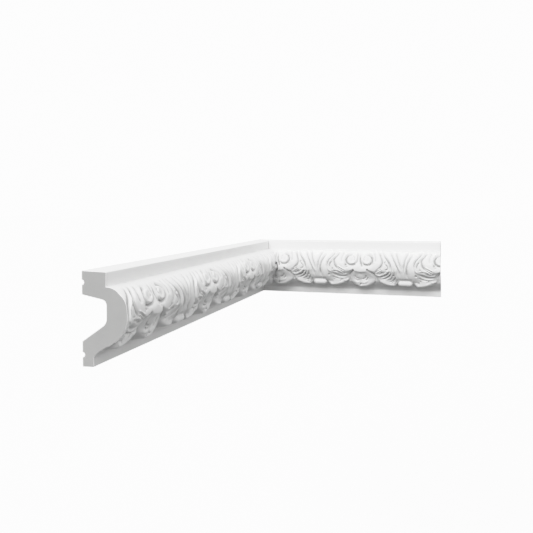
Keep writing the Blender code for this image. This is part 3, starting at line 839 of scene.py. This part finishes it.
class Finish(Nodes):
    """A material and the nodes that make it."""

    def __init__(self, name):
        self.material = bpy.data.materials.new(name)
        self.material.use_nodes = True
        super().__init__(self.material.node_tree)
        self.shader = self.tree.nodes["Principled BSDF"]
        self.place = self.node("ShaderNodeTexCoord", "Object")

    def noise(self, size, detail):
        """Cloudy noise with patches of about the size given in millimetres."""
        return self.node("ShaderNodeTexNoise", Vector=self.place, Scale=1.0 / (size * MM), Detail=detail)

    def blend(self, share, first, second):
        """A mix of two colours, each a node's output or three numbers."""
        first, second = (value if isinstance(value, Socket) else (*value, 1.0) for value in (first, second))
        return self.node("ShaderNodeMix", settings={"data_type": "RGBA"}, Factor=share, A=first, B=second)

    def ramp(self, value, low, high):
        """0 below the low value, 1 above the high one, and smooth between them."""
        return self.node("ShaderNodeMapRange", settings={"interpolation_type": "SMOOTHSTEP"}, Value=value,
                         From_Min=low, From_Max=high)

    def finish(self, colour, roughness, height, depth):
        """Joins the colour, the roughness and a bump of the depth given in millimetres to the surface."""
        self.feed(self.shader.inputs["Base Color"], colour)
        self.feed(self.shader.inputs["Roughness"], roughness)
        bump = self.node("ShaderNodeBump", Height=height, Distance=depth * MM, Strength=1.0)
        self.feed(self.shader.inputs["Normal"], bump)
        return self.material


# The primer's two clean shades, and the painted shade in its cuts: a darker grey that stands in for the
# shadow that falls in recesses. It comes in over two ranges of recess, in millimetres, each with its share.
PRIMER_DULL = (0.80, 0.80, 0.797)
PRIMER_BRIGHT = (0.84, 0.84, 0.838)
PAINTED_CUT_SHADE = (0.48, 0.48, 0.478)
SHALLOW_RECESS = (0.0, 0.5)
SHALLOW_SHARE = 0.42
DEEP_RECESS = (0.5, 1.8)
DEEP_SHARE = 0.5

# The bare foam, on the moulded back and on the sawn ends. A pore fades out between two shares of the
# pores' spacing.
BACK_DARK = (0.40, 0.40, 0.40)
BACK_PALE = (0.47, 0.47, 0.465)
SAWN_DARK = (0.72, 0.72, 0.718)
SAWN_PALE = (0.75, 0.75, 0.747)
SAWN_PORE = (0.48, 0.48, 0.48)
PORE_SPACING = 0.9
PORE_EDGE = (0.12, 0.3)
SAW_MARK_SPACING = 9.0


def primed_finish():
    """Sprayed white primer: matt, faintly uneven, with a fine orange-peel skin, and shade painted into the
    cuts.
    """
    coat = Finish("primed white")
    clouds = coat.noise(size=60.0, detail=2.0)
    skin = coat.noise(size=1.3, detail=2.0)
    grain = coat.noise(size=0.35, detail=1.0)
    # Painted shade: points that lie behind their surroundings are darkened towards a grey, as if in shadow.
    recess = coat.node("ShaderNodeAttribute", "Fac", {"attribute_name": "recess"})
    shade = coat.ramp(recess, *SHALLOW_RECESS) * SHALLOW_SHARE + coat.ramp(recess, *DEEP_RECESS) * DEEP_SHARE
    clean = coat.blend(clouds, PRIMER_DULL, PRIMER_BRIGHT)
    colour = coat.blend(shade, clean, PAINTED_CUT_SHADE)
    return coat.finish(colour, roughness=0.5 + 0.12 * clouds, height=skin * 0.7 + grain * 0.3, depth=0.05)


def bare_finish():
    """The unpainted moulded back: grey dense foam with a dull skin."""
    foam = Finish("bare moulded back")
    clouds = foam.noise(size=25.0, detail=3.0)
    skin = foam.noise(size=2.2, detail=3.0)
    colour = foam.blend(clouds, BACK_DARK, BACK_PALE)
    return foam.finish(colour, roughness=0.75, height=skin, depth=0.12)


def sawn_finish():
    """The sawn section: even grey foam with fine closed pores and faint saw marks."""
    foam = Finish("sawn section")
    clouds = foam.noise(size=18.0, detail=2.0)
    cells = foam.node("ShaderNodeTexVoronoi", "Distance", Vector=foam.place, Scale=1.0 / (PORE_SPACING * MM))
    pores = 1.0 - foam.ramp(cells, *PORE_EDGE)
    marks = foam.node("ShaderNodeTexWave", "Fac", {"bands_direction": "Z"}, Vector=foam.place,
                      Scale=1.0 / (SAW_MARK_SPACING * MM), Distortion=2.0, Detail=2.0)
    colour = foam.blend(pores * 0.35, foam.blend(clouds, SAWN_DARK, SAWN_PALE), SAWN_PORE)
    return foam.finish(colour, roughness=0.7, height=marks * 0.25 - pores, depth=0.05)


# The camera, fitted to the photo's straight edges. Its frame is square. The principal point is given in
# the photo's pixels, the place in millimetres, and the turn as yaw, pitch and roll in radians. What is
# nearer or further than the two clip distances, in metres, isn't drawn.
PHOTO_SIDE = 533.0
FOCAL_PIXELS = 568.8
PRINCIPAL_POINT = (282.5, 216.0)
CAMERA_PLACE = (324.7, -944.6, 145.1)
CAMERA_TURN = (-0.29015, 0.01625, -0.007)
SENSOR = 36.0
CLIP = (0.01, 100.0)


def make_camera():
    """The photo's camera."""
    data = bpy.data.cameras.new("camera")
    data.sensor_width = SENSOR
    data.lens = FOCAL_PIXELS / PHOTO_SIDE * SENSOR
    data.shift_x = (PHOTO_SIDE / 2 - PRINCIPAL_POINT[0]) / PHOTO_SIDE
    data.shift_y = (PRINCIPAL_POINT[1] - PHOTO_SIDE / 2) / PHOTO_SIDE
    data.clip_start, data.clip_end = CLIP
    camera = bpy.data.objects.new("camera", data)
    yaw, pitch, roll = CAMERA_TURN
    forward = Vector((sin(yaw) * cos(pitch), cos(yaw) * cos(pitch), -sin(pitch)))
    right = Vector((cos(yaw), -sin(yaw), 0.0))
    up = right.cross(forward)
    right, up = (cos(roll) * right + sin(roll) * up, cos(roll) * up - sin(roll) * right)
    turn = Matrix((right, up, -forward)).transposed().to_4x4()
    camera.matrix_world = Matrix.Translation(Vector(CAMERA_PLACE) * MM) @ turn
    bpy.context.scene.collection.objects.link(camera)
    bpy.context.scene.camera = camera


# The studio: how bright its air is above and below, how far from level that changes, how bright the
# backdrop looks, and the soft key light's way, strength and spread. The floor's sizes are in metres.
ZENITH = 1.15
NADIR = 0.1
HORIZON = 0.3
BACKDROP = 1.32
WHITE = (1.0, 1.0, 1.0, 1.0)
KEY_FROM = (-0.08, -0.85, 0.5)
KEY_STRENGTH = 1.5
KEY_SPREAD = radians(30)
FLOOR_DROP = 0.9
FLOOR_SIZE = 60.0
FLOOR_WHITE = 0.95

# How the camera shows light: straight up to the first value, then with a soft shoulder up to white.
SHOULDER_WHITE = 2.0
SHOULDER = ((0.3, 0.3), (0.6, 0.6), (0.8, 0.76), (1.0, 0.85), (1.16, 0.895), (1.27, 0.965), (1.4, 0.99))


def make_floor():
    """A pale floor well below the moulding, which its mount holds up."""
    mesh = bmesh.new()
    bmesh.ops.create_grid(mesh, x_segments=1, y_segments=1, size=FLOOR_SIZE)
    data = bpy.data.meshes.new("floor")
    mesh.to_mesh(data)
    mesh.free()
    floor = bpy.data.objects.new("floor", data)
    floor.location = (0.0, 0.0, -FLOOR_DROP)
    floor.visible_diffuse = False
    paint = bpy.data.materials.new("pale floor")
    paint.use_nodes = True
    shader = paint.node_tree.nodes["Principled BSDF"]
    shader.inputs["Base Color"].default_value = (FLOOR_WHITE, FLOOR_WHITE, FLOOR_WHITE, 1.0)
    shader.inputs["Roughness"].default_value = 1.0
    shader.inputs["Specular IOR Level"].default_value = 0.0
    data.materials.append(paint)
    bpy.context.scene.collection.objects.link(floor)


def make_world():
    """White air: bright above the horizon, dim below it, and a plain white backdrop where it is seen."""
    world = bpy.data.worlds.new("studio")
    world.use_nodes = True
    world.node_tree.nodes.clear()
    bpy.context.scene.world = world
    sky = Nodes(world.node_tree)
    way = sky.node("ShaderNodeTexCoord", "Generated")
    rise = sky.node("ShaderNodeSeparateXYZ", "Z", Vector=way)
    air = sky.node("ShaderNodeMapRange", settings={"interpolation_type": "SMOOTHSTEP"}, Value=rise,
                   From_Min=-HORIZON, From_Max=HORIZON, To_Min=NADIR, To_Max=ZENITH)
    seen = sky.node("ShaderNodeLightPath", "Is Camera Ray")
    glow = sky.node("ShaderNodeBackground", Color=WHITE, Strength=air + seen * (BACKDROP - air))
    sky.node("ShaderNodeOutputWorld", Surface=glow)


def make_key_light():
    """A wide, soft light from in front and above."""
    data = bpy.data.lights.new("key light", "SUN")
    data.energy = KEY_STRENGTH
    data.angle = KEY_SPREAD
    light = bpy.data.objects.new("key light", data)
    light.rotation_euler = Vector(KEY_FROM).to_track_quat("Z", "Y").to_euler()
    bpy.context.scene.collection.objects.link(light)


def expose():
    """Standard colours with a camera's soft shoulder, so that the brightest whites keep their shading."""
    view = bpy.context.scene.view_settings
    view.view_transform = "Standard"
    view.use_curve_mapping = True
    view.curve_mapping.white_level = (SHOULDER_WHITE, SHOULDER_WHITE, SHOULDER_WHITE)
    curve = view.curve_mapping.curves[3]
    for light, shown in SHOULDER:
        curve.points.new(light / SHOULDER_WHITE, shown)
    view.curve_mapping.update()


def light_studio():
    """The light, the floor and the backdrop, none of them part of the object."""
    expose()
    make_world()
    make_floor()
    make_key_light()


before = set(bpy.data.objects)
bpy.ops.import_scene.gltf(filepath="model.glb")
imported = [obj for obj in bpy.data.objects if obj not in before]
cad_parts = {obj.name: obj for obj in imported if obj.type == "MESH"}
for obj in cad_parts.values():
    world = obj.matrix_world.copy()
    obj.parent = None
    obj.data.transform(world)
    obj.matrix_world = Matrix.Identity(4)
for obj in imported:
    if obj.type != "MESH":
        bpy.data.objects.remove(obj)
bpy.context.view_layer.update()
make_camera()

finishes = (primed_finish(), bare_finish(), sawn_finish())
tree = repeat_tree()
to_left_run = Matrix.Rotation(pi / 2, 4, "Z")
mitre_setback = MITRE_GAP / 2 * 2 ** 0.5

right_run = laid_run(tree, one_repeat(*RIGHT_MESH), RIGHT_REPEATS, RIGHT_AXIS - REPEAT, *finishes[:2])
right_cuts = (
    ((RIGHT_LENGTH, 0.0, 0.0), (1.0, 0.0, 0.0), END_CHAMFER),
    ((mitre_setback, 0.0, 0.0), (-1.0, -1.0, 0.0), 0.0),
)
right = finished_length("right_moulding", right_run, right_cuts, Matrix.Identity(4), finishes)

left_start = -LEFT_AXIS - (LEFT_REPEATS - 1) * REPEAT
left_run = laid_run(tree, one_repeat(*LEFT_MESH), LEFT_REPEATS, left_start, *finishes[:2])
left_cuts = (
    ((-LEFT_LENGTH, 0.0, 0.0), (-1.0, 0.0, 0.0), END_CHAMFER),
    ((-mitre_setback, 0.0, 0.0), (1.0, -1.0, 0.0), 0.0),
)
left = finished_length("left_moulding", left_run, left_cuts, to_left_run, finishes)

for piece, node in ((left, "left_length"), (right, "right_length")):
    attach(piece, "root")
    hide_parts(node)

light_studio()
